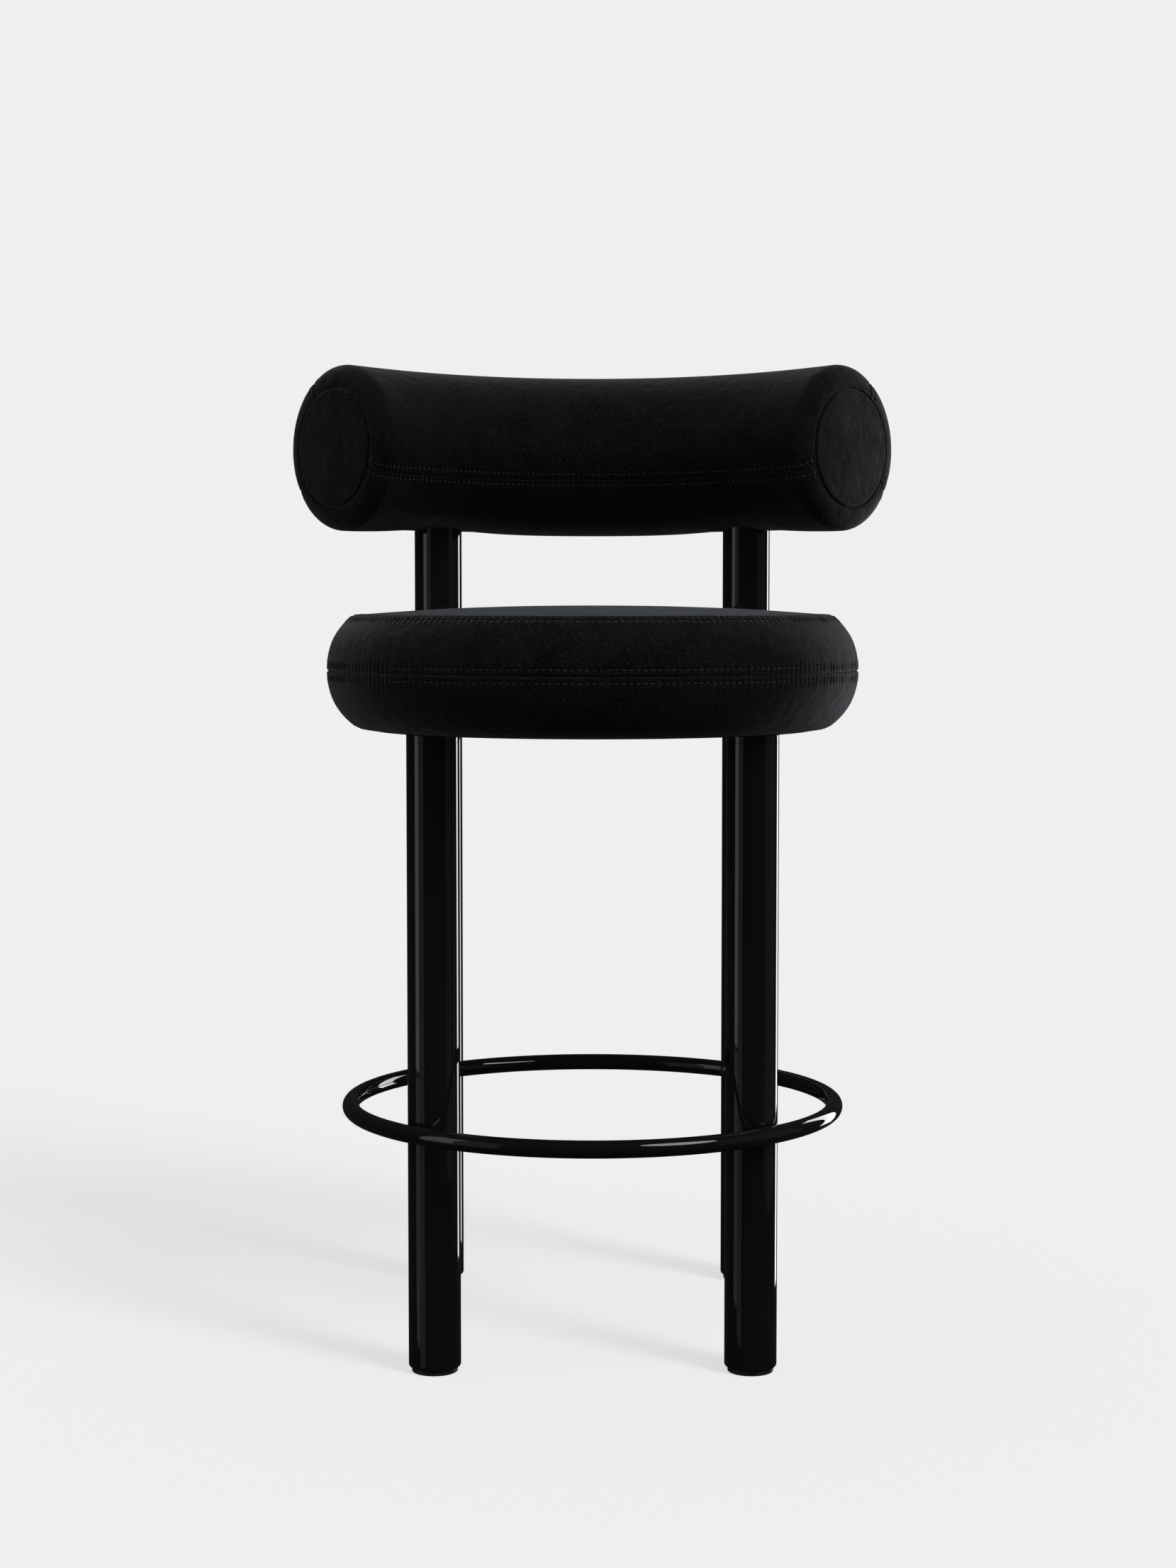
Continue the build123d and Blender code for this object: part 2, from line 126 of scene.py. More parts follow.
def coat_material(name, dark, light, tone_scale, roughness, grain_scale, grain_height, **fixed):
    """Material for a hard piece: colour and roughness drift a little, and a fine grain lifts the surface."""
    material = bpy.data.materials.new(name)
    material.use_nodes = True
    nodes, links = material.node_tree.nodes, material.node_tree.links
    shader = nodes["Principled BSDF"]
    coordinates = nodes.new("ShaderNodeTexCoord")
    tone = nodes.new("ShaderNodeMix")
    tone.data_type = "RGBA"
    tone.inputs["A"].default_value = (*dark, 1)
    tone.inputs["B"].default_value = (*light, 1)
    links.new(noise_value(nodes, links, tone_scale, 4, 0, 1, coordinates), tone.inputs["Factor"])
    links.new(tone.outputs["Result"], shader.inputs["Base Color"])
    rough = noise_value(nodes, links, tone_scale * 2.3, 5, roughness[0], roughness[1], coordinates)
    links.new(rough, shader.inputs["Roughness"])
    grain = nodes.new("ShaderNodeBump")
    grain.inputs["Distance"].default_value = grain_height
    grain.inputs["Strength"].default_value = 1.0
    links.new(noise_value(nodes, links, grain_scale, 3, 0, 1, coordinates), grain.inputs["Height"])
    links.new(grain.outputs["Normal"], shader.inputs["Normal"])
    for socket, value in fixed.items():
        shader.inputs[socket.replace("_", " ")].default_value = value
    return material


def dress(piece, material, slot, *replaced):
    """Give a new piece its material and its body, and hide the frame nodes that it stands for. The slot is
    not used.
    """
    piece.data.materials.clear()
    piece.data.materials.append(material)
    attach(piece, "root")
    if replaced:
        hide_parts(*replaced)


def middle(node):
    """Middle of a frame node's box."""
    low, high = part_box(node)
    return (np.array(low) + np.array(high)) / 2


lacquer = coat_material(
    "black_lacquer", (0.0048, 0.0048, 0.0050), (0.0060, 0.0060, 0.0062), 9.0, (0.02, 0.03), 260.0, 0.0000006
)
lip_round = 0.003
edge_ease = 0.0004  # the flat ends stop this far short of the rim, so the shading stays clean
lip_turn = np.radians(np.linspace(-90, 0, 9))

for side in ("front_left", "front_right", "rear_left", "rear_right"):
    low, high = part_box(f"{side}_leg")
    leg_radius = (high[0] - low[0]) / 2
    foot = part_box(f"{side}_end_cap")[0][2]
    rim = leg_radius - lip_round
    top = high[2]
    profile = [(0, foot), (rim / 2, foot), (rim - edge_ease, foot)]
    profile += [(rim + lip_round * np.cos(a), foot + lip_round * (1 + np.sin(a))) for a in lip_turn]
    profile += [(leg_radius, z) for z in np.linspace(foot + lip_round * 1.2, top - edge_ease, 24)]
    profile += [(leg_radius - edge_ease, top), (leg_radius / 2, top), (0, top)]
    leg = turned(f"{side}_lacquered_leg", profile, middle(f"{side}_leg"))
    dress(leg, lacquer, "black_lacquer", f"{side}_leg", f"{side}_end_cap")

# ---- Glides ----------------------------------------------------------------------------------------------
# Moulded nylon feet on threaded studs, a little narrower than the legs, so each leg seems to float.

nylon = coat_material(
    "glide_nylon", (0.008, 0.008, 0.0085), (0.013, 0.013, 0.014), 60.0, (0.45, 0.6), 900.0, 0.00002
)
zinc = coat_material(
    "zinc_plate", (0.42, 0.43, 0.45), (0.55, 0.56, 0.57), 90.0, (0.28, 0.42), 700.0, 0.00001, Metallic=1.0
)
for side in ("front_left", "front_right", "rear_left", "rear_right"):
    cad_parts[f"{side}_glide"].data.materials.clear()
    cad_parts[f"{side}_glide"].data.materials.append(nylon)

# ---- Footrest ring ---------------------------------------------------------------------------------------
# Round steel bar bent to a full circle, butt welded, ground smooth and lacquered with the frame. It stands
# outside the front legs and inside the rear legs, and button screws hold it to all four.

left_half, right_half = np.array(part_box("left_footrest_half")), np.array(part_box("right_footrest_half"))
bar_radius = (right_half[1][2] - right_half[0][2]) / 2
ring_middle = np.array([0, *(left_half[0] + right_half[1])[1:] / 2])
ring_radius = (right_half[1][1] - right_half[0][1]) / 2 - bar_radius
bar_turn = np.arange(40) * 2 * np.pi / 40
ring_turn = np.arange(320) * 2 * np.pi / 320
# point(i, j) = middle + ((R + r cos b_j) cos a_i, (R + r cos b_j) sin a_i, r sin b_j)
reach = ring_radius + bar_radius * np.cos(bar_turn)
ring_points = np.empty((len(ring_turn), len(bar_turn), 3))
ring_points[..., 0] = np.cos(ring_turn)[:, None] * reach
ring_points[..., 1] = np.sin(ring_turn)[:, None] * reach
ring_points[..., 2] = bar_radius * np.sin(bar_turn)
ring = surface("footrest_ring", ring_points + ring_middle, around=True, along=True)
dress(ring, lacquer, "black_lacquer", "left_footrest_half", "right_footrest_half")

blacking = coat_material(
    "black_oxide", (0.006, 0.006, 0.0065), (0.012, 0.012, 0.013), 200.0, (0.22, 0.35), 800.0, 0.00001
)
for node in ("footrest_rear_screws", "footrest_front_screws", "backrest_lock_screws"):
    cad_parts[node].data.materials.clear()
    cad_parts[node].data.materials.append(blacking)

# ---- Rails under the seat and other steel parts ------------------------------------------------------------
# Flat bars welded across the legs and lacquered with them. Studs, nuts, seat screws and the backrest's core
# are bright zinc plate, and sit out of sight.

for node in ("left_seat_rail", "right_seat_rail", "seat_cross_rail"):
    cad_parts[node].data.materials.clear()
    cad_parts[node].data.materials.append(lacquer)
hidden_steel = ("glide_studs", "footrest_nuts", "seat_screws", "seat_tee_nuts", "backrest_core")
for node in (*hidden_steel, "left_backrest_spigot", "right_backrest_spigot"):
    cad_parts[node].data.materials.clear()
    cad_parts[node].data.materials.append(zinc)

# ---- Seat board and dust cover -----------------------------------------------------------------------------
# A birch plywood disc under the foam, closed below by black non-woven cloth stapled round its edge.

birch = coat_material(
    "birch_plywood", (0.42, 0.28, 0.15), (0.58, 0.42, 0.25), 35.0, (0.5, 0.65), 300.0, 0.00005
)
dust_cloth = coat_material(
    "dust_cloth", (0.009, 0.009, 0.009), (0.02, 0.02, 0.02), 900.0, (0.85, 0.95), 1400.0, 0.00012
)
for node, material in (("seat_board", birch), ("seat_dust_cover", dust_cloth)):
    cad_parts[node].data.materials.clear()
    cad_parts[node].data.materials.append(material)

# ---- Velvet ------------------------------------------------------------------------------------------------
# Black cut velvet: a short dense pile that drinks light face on and catches it at a slant. The pile leans in
# soft patches, and a little lint lies on it.

velvet_sheen = 0.19
velvet_sheen_roughness = 0.35

velvet = bpy.data.materials.new("black_velvet")
velvet.use_nodes = True
nodes, links = velvet.node_tree.nodes, velvet.node_tree.links
shader = nodes["Principled BSDF"]
coordinates = nodes.new("ShaderNodeTexCoord")
patches = noise_value(nodes, links, 22.0, 5, 0.0, 1.0, coordinates)
flecks = noise_value(nodes, links, 620.0, 3, 0.0, 1.0, coordinates)
pile_tone = nodes.new("ShaderNodeMix")
pile_tone.data_type = "RGBA"
pile_tone.inputs["A"].default_value = (0.0007, 0.0007, 0.0012, 1)
pile_tone.inputs["B"].default_value = (0.0036, 0.0038, 0.0048, 1)
links.new(patches, pile_tone.inputs["Factor"])
fleck_level = nodes.new("ShaderNodeMapRange")
fleck_level.inputs["From Min"].default_value = 0.6
fleck_level.inputs["From Max"].default_value = 1.0
links.new(flecks, fleck_level.inputs["Value"])
lint_tone = nodes.new("ShaderNodeMix")
lint_tone.data_type = "RGBA"
lint_tone.inputs["B"].default_value = (0.013, 0.0135, 0.0155, 1)
links.new(fleck_level.outputs["Result"], lint_tone.inputs["Factor"])
links.new(pile_tone.outputs["Result"], lint_tone.inputs["A"])
links.new(lint_tone.outputs["Result"], shader.inputs["Base Color"])
links.new(noise_value(nodes, links, 60.0, 4, 0.78, 0.95, coordinates), shader.inputs["Roughness"])
shader.inputs["Specular IOR Level"].default_value = 0.12
shader.inputs["Sheen Weight"].default_value = velvet_sheen
shader.inputs["Sheen Roughness"].default_value = velvet_sheen_roughness
shader.inputs["Sheen Tint"].default_value = (0.84, 0.92, 1.0, 1)
pile_bump = nodes.new("ShaderNodeBump")
pile_bump.inputs["Distance"].default_value = 0.00035
pile_bump.inputs["Strength"].default_value = 0.8
links.new(noise_value(nodes, links, 900.0, 4, 0, 1, coordinates), pile_bump.inputs["Height"])
lean_bump = nodes.new("ShaderNodeBump")
lean_bump.inputs["Distance"].default_value = 0.0013
lean_bump.inputs["Strength"].default_value = 0.42
links.new(noise_value(nodes, links, 75.0, 3, 0, 1, coordinates), lean_bump.inputs["Height"])
links.new(pile_bump.outputs["Normal"], lean_bump.inputs["Normal"])
links.new(lean_bump.outputs["Normal"], shader.inputs["Normal"])

thread_black = coat_material(
    "sewing_thread", (0.030, 0.031, 0.034), (0.064, 0.066, 0.072), 400.0, (0.5, 0.65), 2500.0, 0.00005
)
foam_cream = coat_material(
    "moulded_foam", (0.52, 0.47, 0.34), (0.66, 0.61, 0.47), 30.0, (0.9, 0.98), 600.0, 0.0002
)

# ---- Seat covers -------------------------------------------------------------------------------------------
# Three velvet panels over a moulded puck of foam: a round top, an upper band and a lower band that is turned
# under and stapled. Each seam is turned in and top-stitched along both sides.

seam_roll = 0.0024  # how far from a seam the cloth starts to roll in, and how deep it goes
seam_depth = 0.0019
row_gap = 0.0056  # stitch rows run this far from the seam, on both sides of it
stitch_pitch = 0.0060
shell_depth = 0.0033  # the covers' unseen inner side
puff = 0.0020  # how far the stuffing pushes the cloth out between its seams
swell_reach = puff / 2  # what a full share of the cloth simulation adds to that
samples_per_stitch = 5

top_low, top_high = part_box("seat_top_panel")
band_low, band_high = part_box("seat_upper_band")
seat_middle = middle("seat_foam")
seat_radius = (band_high[0] - band_low[0]) / 2
seam_radius = (top_high[0] - top_low[0]) / 2
seam_height, girth_height, seat_top = band_high[2], band_low[2], top_high[2]
foot_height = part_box("seat_lower_band")[0][2]
edge_step = seat_radius - seam_radius
upper_round = (edge_step**2 + (seam_height - girth_height) ** 2) / 2 / edge_step
lower_round = 0.0600
flange_radius = 0.187


def seat_section():
    """Outline of the seat from its apex to the flange below, as radius and height, with the length along it.

    Crown: a shallow parabola. Edge: one arc above the girth and one below, both upright at the girth. Foot: a
    small round where the lower arc turns flat under the board.
    """
    out = np.linspace(0.0, 1.0, 60)
    crown = np.stack([out * seam_radius, seat_top - (seat_top - seam_height) * out**2], axis=1)
    start = np.arcsin((seam_height - girth_height) / upper_round)
    turn = np.linspace(start, 0, 60)[1:]
    upper_radii = seat_radius - upper_round + upper_round * np.cos(turn)
    upper = np.stack([upper_radii, girth_height + upper_round * np.sin(turn)], axis=1)
    end = -np.arcsin((girth_height - foot_height) / lower_round) * 0.93
    turn = np.linspace(0, end, 60)[1:]
    lower_radii = seat_radius - lower_round + lower_round * np.cos(turn)
    lower = np.stack([lower_radii, girth_height + lower_round * np.sin(turn)], axis=1)
    last, slope = lower[-1], lower[-1] - lower[-2]
    corner = last + slope * (foot_height - last[1]) / slope[1]
    run = np.linspace(0, 1, 12)[1:, None]
    tail = corner + np.array([-0.012, 0.0])
    foot = (1 - run) ** 2 * last + 2 * run * (1 - run) * corner + run**2 * tail
    flange = tail + run * (np.array([flange_radius, foot_height]) - tail)
    outline = np.concatenate([crown, upper, lower, foot, flange])
    lengths = np.concatenate([[0], np.cumsum(np.hypot(*np.diff(outline, axis=0).T))])
    return outline, lengths, lengths[59], lengths[118]


seat_outline, seat_lengths, top_seam_at, girth_at = seat_section()
seat_end = seat_lengths[-1]
seat_slopes = np.gradient(seat_outline, seat_lengths, axis=0)
seat_slopes /= np.linalg.norm(seat_slopes, axis=1, keepdims=True)


def seam_groove(distance):
    """Depth of the cloth near a seam: a quarter circle that rolls in to the full seam depth."""
    near = np.clip(1 - distance / seam_roll, 0, 1)
    return seam_depth * (1 - np.sqrt(1 - near**2 * 0.999))


def stitch_relief(distance, count, random_level):
    """Height of the cloth round a stitch row: a shallow channel under the thread, with small puckers.

    `count` is the place along the row in stitches, so the thread dips in at whole numbers, and `random_level`
    makes some puckers stronger than others.
    """
    across = (distance - row_gap) / 0.0015
    wave = np.cos(2 * np.pi * count)
    channel = -0.00045 * np.exp(-(across**2)) * (1 - 0.45 * wave)
    reach = np.exp(-(((distance - row_gap) / 0.0042) ** 2))
    return channel + 0.00034 * reach * wave * random_level


random = np.random.default_rng(7)
pucker_levels = 0.4 + 1.5 * random.random(512)


def pucker_level(count):
    """How strong the puckers are at this place along a row: one random level per stitch, blended smoothly."""
    whole = np.floor(count).astype(int)
    blend = count - whole
    return pucker_levels[whole % 512] * (1 - blend) + pucker_levels[(whole + 1) % 512] * blend


def swell(grid, normals, pinned, around):
    """Cloth simulation of a cover: how far each grid point moves out along its normal in 20 frames.

    The cloth starts on the grid, is pinned along its seams, has no gravity and is blown out by the pressure
    of the foam. The move is capped, and returned as a share of the cap. The covers are tight, so the caller
    adds only a small part of it to the shape, which comes from the formulas.
    """
    cap = 0.012
    last_frame = 20
    rows, columns = grid.shape[:2]
    index = np.arange(rows * columns).reshape(rows, columns)
    if around:
        index = np.vstack([index, index[:1]])
    quads = grid_quads(index)
    first = grid.reshape(-1, 3)[quads[0]]
    if np.dot(np.cross(first[1] - first[0], first[3] - first[0]), normals.reshape(-1, 3)[quads[0][0]]) < 0:
        quads = quads[:, ::-1]
    mesh = bpy.data.meshes.new("cover_cloth")
    mesh.from_pydata(grid.reshape(-1, 3).tolist(), [], quads.tolist())
    cloth_piece = bpy.data.objects.new("cover_cloth", mesh)
    bpy.context.scene.collection.objects.link(cloth_piece)
    pins = cloth_piece.vertex_groups.new(name="pins")
    pins.add(np.flatnonzero(pinned.reshape(-1)).tolist(), 1.0, "REPLACE")
    cloth = cloth_piece.modifiers.new("cloth", "CLOTH")
    cloth.settings.quality = 5
    cloth.settings.mass = 0.3
    cloth.settings.tension_stiffness = 12
    cloth.settings.compression_stiffness = 12
    cloth.settings.bending_stiffness = 0.6
    cloth.settings.use_pressure = True
    cloth.settings.uniform_pressure_force = 4.0
    cloth.settings.vertex_group_mass = "pins"
    cloth.settings.effector_weights.gravity = 0
    scene = bpy.context.scene
    for step in range(1, last_frame + 1):
        scene.frame_set(step)
    settled = cloth_piece.evaluated_get(bpy.context.evaluated_depsgraph_get())
    moved = np.empty(rows * columns * 3)
    settled.data.vertices.foreach_get("co", moved)
    scene.frame_set(1)
    bpy.data.objects.remove(cloth_piece)
    bpy.data.meshes.remove(mesh)
    out = ((moved.reshape(grid.shape) - grid) * normals).sum(axis=2)
    return np.clip(out, -cap, cap) / cap


def sampled(table, row, column):
    """Value of a table at fractional rows and columns, straight between its entries; rows wrap round."""
    row0 = np.floor(row).astype(int)
    column0 = np.clip(np.floor(column).astype(int), 0, table.shape[1] - 2)
    fr, fc = row - row0, np.clip(column - column0, 0, 1)
    row0, row1 = row0 % table.shape[0], (row0 + 1) % table.shape[0]
    near = table[row0, column0] * (1 - fc) + table[row0, column0 + 1] * fc
    far = table[row1, column0] * (1 - fc) + table[row1, column0 + 1] * fc
    return near * (1 - fr) + far * fr


def seat_base(turn, place, height):
    """Point on the seat at an angle round it and a length along its outline, lifted along the normal."""
    radius = np.interp(place, seat_lengths, seat_outline[:, 0])
    level = np.interp(place, seat_lengths, seat_outline[:, 1])
    along_r = np.interp(place, seat_lengths, seat_slopes[:, 0])
    along_z = np.interp(place, seat_lengths, seat_slopes[:, 1])
    radius = np.maximum(radius - along_z * height, 0)
    spot = np.stack([np.cos(turn) * radius, np.sin(turn) * radius, level + along_r * height], axis=-1)
    return spot + np.array([seat_middle[0], seat_middle[1], 0])


top_stitches = round(2 * np.pi * seam_radius / stitch_pitch)
girth_stitches = round(2 * np.pi * seat_radius / stitch_pitch)
cloth_rows, cloth_columns = 120, 44
seat_stations = np.linspace(0.01, seat_end, cloth_columns)
seat_swell = np.zeros((cloth_rows, cloth_columns))
turn, place = np.meshgrid(np.arange(cloth_rows) * 2 * np.pi / cloth_rows, seat_stations, indexing="ij")
unevenness = 0.0003 * random.standard_normal(turn.shape)
seat_grid = seat_base(turn, place, unevenness - puff)
seat_normals = (seat_base(turn, place, 0.001) - seat_base(turn, place, 0)) / 0.001
column_step = seat_stations[1] - seat_stations[0]
seat_pins = place > seat_end - 0.02
seat_pins |= np.abs(place - top_seam_at) < column_step * 0.6
seat_pins |= np.abs(place - girth_at) < column_step * 0.6
seat_swell = swell(seat_grid, seat_normals, seat_pins, around=True)


def seat_puff(place):
    """Even bulge of the stuffing between seams: none at a seam, full in the middle of a panel."""
    band_middle = (top_seam_at + girth_at) / 2
    knots = [0, top_seam_at * 0.6, top_seam_at, band_middle, girth_at, girth_at + 0.03, seat_end]
    return np.interp(place, knots, [0, 0, -puff / 2, 0, -puff / 2, 0, 0])


def seat_surface(turn, place):
    """Finished velvet: the outline, the stuffing's bulge, the rolled seams and the stitching's puckers."""
    top_gap, girth_gap = np.abs(place - top_seam_at), np.abs(place - girth_at)
    height = seat_puff(place) - seam_groove(top_gap) - seam_groove(girth_gap)
    share = turn / (2 * np.pi)
    top_count, girth_count = share * top_stitches, share * girth_stitches
    height += stitch_relief(top_gap, top_count, pucker_level(top_count))
    height += stitch_relief(girth_gap, girth_count, pucker_level(girth_count + 31))
    row = share * cloth_rows
    column = (place - seat_stations[0]) / (seat_stations[1] - seat_stations[0])
    height += swell_reach * sampled(seat_swell, row, column)
    return seat_base(turn, place, height)


def round_skin(name, outer, inner):
    """Thin cover that runs all the way round: the outer grid, the inner grid behind it, and joined edges."""
    loop = np.concatenate([outer, inner[:, ::-1]], axis=1)
    return surface(name, loop, around=True, along=True, sharp=70)


def long_skin(name, outer, inner):
    """Thin closed cover with two ends: the looped grid, with its ends shut by quads between the two sides."""
    loop = np.concatenate([outer, inner[:, ::-1]], axis=1)
    rows, columns = loop.shape[:2]
    half = columns // 2
    index = np.arange(rows * columns).reshape(rows, columns)
    quads = [grid_quads(np.hstack([index, index[:, :1]]))]
    for end in (index[0], index[-1]):
        quads.append(grid_quads(np.stack([end[:half], end[half:][::-1]])))
    return mesh_piece(name, loop.reshape(-1, 3).tolist(), np.concatenate(quads).tolist(), sharp=70)


seam_step = 0.0006  # spacing of the mesh beside a seam, and how far that fine mesh reaches
seam_reach = 0.011


def spread(start, end, start_seam, end_seam, coarse):
    """Stations from start to end, close together within reach of a seam and wider apart elsewhere."""
    stations = [np.linspace(start, end, max(2, int((end - start) / coarse)))]
    fine = np.arange(0, seam_reach, seam_step)
    if start_seam:
        stations.append(start + fine)
    if end_seam:
        stations.append(end - fine)
    line = np.unique(np.concatenate(stations).round(7))
    keep = np.concatenate([[True], np.diff(line) > seam_step * 0.45])
    keep[-1] = True
    line = line[keep]
    line[0], line[-1] = start, end
    return line


seat_panels = {
    "seat_top_cover": ("seat_top_panel", 0.0, top_seam_at, False, True, top_stitches),
    "seat_upper_cover": ("seat_upper_band", top_seam_at, girth_at, True, True, girth_stitches),
    "seat_lower_cover": ("seat_lower_band", girth_at, seat_end, True, False, girth_stitches),
}
for name, (node, start, end, start_seam, end_seam, stitches) in seat_panels.items():
    around = np.arange(stitches * samples_per_stitch) * 2 * np.pi / (stitches * samples_per_stitch)
    stations = spread(start, end, start_seam, end_seam, coarse=0.0045 if start else 0.012)
    turn, place = np.meshgrid(around, stations, indexing="ij")
    inner_place = place[:, np.unique(np.append(np.arange(0, len(stations), 5), len(stations) - 1))]
    inner = seat_base(turn[:, : inner_place.shape[1]], inner_place, -shell_depth)
    cover = round_skin(name, seat_surface(turn, place), inner)
    dress(cover, velvet, "velvet", node)

foam_stations = np.linspace(0, seat_end - 0.02, 60)
foam_turn, foam_place = np.meshgrid(np.arange(96) * 2 * np.pi / 96, foam_stations, indexing="ij")
foam_points = seat_base(foam_turn, foam_place, -shell_depth - 0.0006)
board_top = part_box("seat_board")[1][2]
inner_edge = foam_points[:, -1:].copy()
inner_edge[..., 2] = board_top
axis_point = inner_edge * 0 + np.array([seat_middle[0], seat_middle[1], board_top])
seat_foam_points = np.concatenate([foam_points, inner_edge, axis_point], axis=1)
seat_foam = surface("seat_foam_puck", seat_foam_points, around=True)
dress(seat_foam, foam_cream, "foam", "seat_foam")

# ---- Seat stitching ----------------------------------------------------------------------------------------
# Thick polyester thread, one row along each side of both seams. Each visible stitch is a short round run of
# thread that dives into the cloth at both ends.

thread_radius = 0.00036
stitch_share = 0.72  # how much of the pitch a stitch spans


def stitch_row(centres, directions, normals, pitch):
    """All stitches of a row as one mesh: each is a bent capsule of 6 rings of 6 points, closed at its ends.

    ring k of a stitch sits at centre + direction * x_k + normal * (lift - sag x_k^2), with a radius that
    shrinks towards both ends.
    """
    sides = np.cross(normals, directions)
    run = np.linspace(-1, 1, 6)
    girth = thread_radius * np.sqrt(np.clip(1 - run**8, 0.08, 1))
    along = run * pitch * stitch_share / 2
    lift = thread_radius * 0.75 - thread_radius * 1.5 * run**4
    turn = np.arange(6) * np.pi / 3
    spine = centres[:, None] + directions[:, None] * along[:, None] + normals[:, None] * lift[:, None]
    ring_out = sides[:, None, None] * np.cos(turn)[:, None] + normals[:, None, None] * np.sin(turn)[:, None]
    points = spine[:, :, None] + ring_out * girth[:, None, None]
    count = len(centres)
    index = np.arange(count * 36).reshape(count, 6, 6)
    nxt = np.roll(index, -1, axis=2)
    walls = np.stack([index[:, :-1], nxt[:, :-1], nxt[:, 1:], index[:, 1:]], axis=-1).reshape(-1, 4)
    ends = np.concatenate([index[:, 0, ::-1], index[:, -1]])
    faces = walls.tolist() + ends.tolist()
    return points.reshape(-1, 3), faces


def sew(name, rows):
    """Join rows of stitches into one piece of thread."""
    all_points, all_faces, offset = [], [], 0
    for points, faces in rows:
        all_points.append(points)
        all_faces += [[corner + offset for corner in face] for face in faces]
        offset += len(points)
    piece = mesh_piece(name, np.concatenate(all_points).tolist(), all_faces)
    dress(piece, thread_black, "velvet")
    return piece


def unit(vectors):
    """Vectors scaled to length one."""
    return vectors / np.linalg.norm(vectors, axis=-1, keepdims=True)


seat_seams = {
    "seat_top_stitches": (top_seam_at, top_stitches),
    "seat_girth_stitches": (girth_at, girth_stitches),
}
for name, (seam_at, count) in seat_seams.items():
    rows = []
    for side in (-1, 1):
        turn = (np.arange(count) + 0.5) * 2 * np.pi / count
        place = np.full(count, seam_at + side * row_gap)
        centres = seat_surface(turn, place)
        ahead = seat_surface(turn + 0.002, place) - seat_surface(turn - 0.002, place)
        outwards = seat_base(turn, place, 0.001) - seat_base(turn, place, 0)
        jitter = random.normal(0, 0.00012, (count, 1)) * np.array([0, 0, 1])
        rows.append(stitch_row(centres + jitter, unit(ahead), unit(outwards), stitch_pitch))
    sew(name, rows)

# ---- Backrest covers ---------------------------------------------------------------------------------------
# A fat roll of moulded foam on a bent steel core. Three long velvet panels wrap it, top-stitched along both
# sides of each seam, and a round panel is let into each end with a plain turned seam.

arc_radius = 0.353
half_turn = np.radians(41.0)
roll_radius, roll_growth = 0.076, 0.002
roll_height, roll_lift = 0.7985, 0.0045
rim_depth, rim_width = 0.015, 0.0225
rear_leg = middle("rear_right_leg")
arc_middle = np.array([0, rear_leg[1] - np.sqrt(arc_radius**2 - rear_leg[0] ** 2)])
body_half = arc_radius * half_turn
rim_length = np.pi / 2 * np.sqrt((rim_depth**2 + rim_width**2) / 2)
roll_half = body_half + rim_length
disc_radius = roll_radius + roll_growth - rim_width
dimple_depth, dimple_reach = 0.0042, 0.040


def roll_frame(place, clock):
    """Base point and outward normal of the roll, by length along it and clock angle round it.

    Body: a circle of slowly growing radius, square to an arc. Rim: a quarter ellipse from the body to the
    flat end. Clock 0 points away from the arc's middle, 90 degrees points up.
    """
    signed = np.clip(place, -body_half, body_half)
    turn = signed / arc_radius
    growth = (signed / body_half) ** 2
    rim_turn = np.clip((np.abs(place) - body_half) / rim_length, 0, 1) * np.pi / 2
    radius = (roll_radius + roll_growth * growth) - rim_width * (1 - np.cos(rim_turn))
    axial = rim_depth * np.sin(rim_turn) * np.sign(place)
    out_xy = np.stack([np.sin(turn), np.cos(turn), turn * 0], axis=-1)
    along_xy = np.stack([np.cos(turn), -np.sin(turn), turn * 0], axis=-1)
    centre = np.stack([0 * turn, 0 * turn + arc_middle[1], roll_height + roll_lift * growth], axis=-1)
    centre = centre + arc_radius * out_xy + along_xy * axial[..., None]
    ray = out_xy * np.cos(clock)[..., None] + np.array([0, 0, 1.0]) * np.sin(clock)[..., None]
    normal = ray * (np.cos(rim_turn) / rim_width)[..., None]
    normal = normal + along_xy * (np.sin(rim_turn) / rim_depth * np.sign(place))[..., None]
    return centre + ray * radius[..., None], unit(normal), radius


long_seams = np.radians([-32.0, 58.0, 199.0])
long_stitches = round(2 * roll_half / stitch_pitch)
roll_rows, roll_columns = 96, 110
roll_places = np.linspace(-roll_half, roll_half, roll_columns)
roll_swell = np.zeros((roll_rows, roll_columns))


def clock_gap(clock, seam):
    """Angle from a clock angle to a seam, the short way round."""
    return np.abs((clock - seam + np.pi) % (2 * np.pi) - np.pi)


clock, place = np.meshgrid(np.arange(roll_rows) * 2 * np.pi / roll_rows, roll_places, indexing="ij")
base, normals, radius = roll_frame(place, clock)
clock_step = 2 * np.pi / roll_rows
roll_pins = np.abs(place) > roll_half - 0.002
for seam in long_seams:
    roll_pins |= clock_gap(clock, seam) < clock_step * 0.55
uneven = 0.0004 * random.standard_normal(clock.shape)
roll_swell = swell(base + normals * (uneven - puff)[..., None], normals, roll_pins, around=True)


